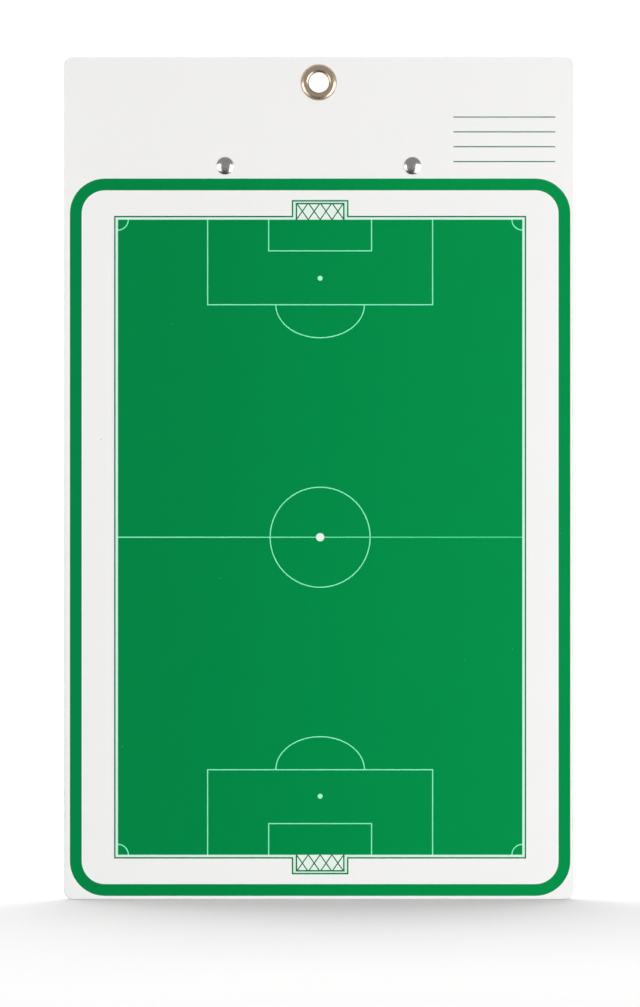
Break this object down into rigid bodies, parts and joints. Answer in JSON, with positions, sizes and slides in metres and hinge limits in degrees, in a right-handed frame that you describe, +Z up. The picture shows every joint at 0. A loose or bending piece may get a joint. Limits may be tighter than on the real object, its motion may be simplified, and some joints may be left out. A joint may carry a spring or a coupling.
{
  "type": "tactics board",
  "caption": "Two-sided dry-wipe coaching board with printed green pitches, a hanging eyelet and a riveted sprung paper clip on the back.",
  "frame": {"origin": "centre of the hanging eyelet, at the middle of the board's thickness", "axes": "+Z up along the board, +X to the right seen from the full-pitch side, -Y out of the full-pitch side, +Y out of the clip side"},
  "size_m": [0.24, 0.0261, 0.3974],
  "materials": {
    "white_board": "satin dry-wipe",
    "green_ink": "screen print",
    "eyelet_brass": "polished, pale",
    "rivet_nickel": "nickel plate",
    "clip_nickel": "nickel plate",
    "spring_steel": "drawn wire"
  },
  "bodies": {
    "board": {"board_panel": "white_board", "front_border_print": "green_ink", "front_pitch_print": "green_ink", "front_touchline_print": "green_ink", "front_top_goal_net_print": "green_ink", "front_bottom_goal_net_print": "green_ink", "front_note_lines_print": "green_ink", "rear_border_print": "green_ink", "rear_half_pitch_print": "green_ink", "rear_touchline_print": "green_ink", "rear_goal_net_print": "green_ink", "hanging_eyelet": "eyelet_brass", "eyelet_washer": "eyelet_brass", "clip_rivet_left": "rivet_nickel", "clip_rivet_right": "rivet_nickel", "clip_base_plate": "clip_nickel", "clip_pivot_rod": "clip_nickel", "clip_spring_left": "spring_steel", "clip_spring_right": "spring_steel"},
    "jaw": {"clip_jaw": "clip_nickel"}
  },
  "joints": [
    {"name": "clip_hinge", "type": "hinge", "parent": "board", "child": "jaw", "pos_m": [0, 0.0095, -0.0463], "axis": [1, 0, 0], "range_deg": [0, 28], "stiffness_Nm_per_rad": 0.6, "springref_deg": -45.84, "deforming": ["clip_spring_left", "clip_spring_right"]}
  ]
}
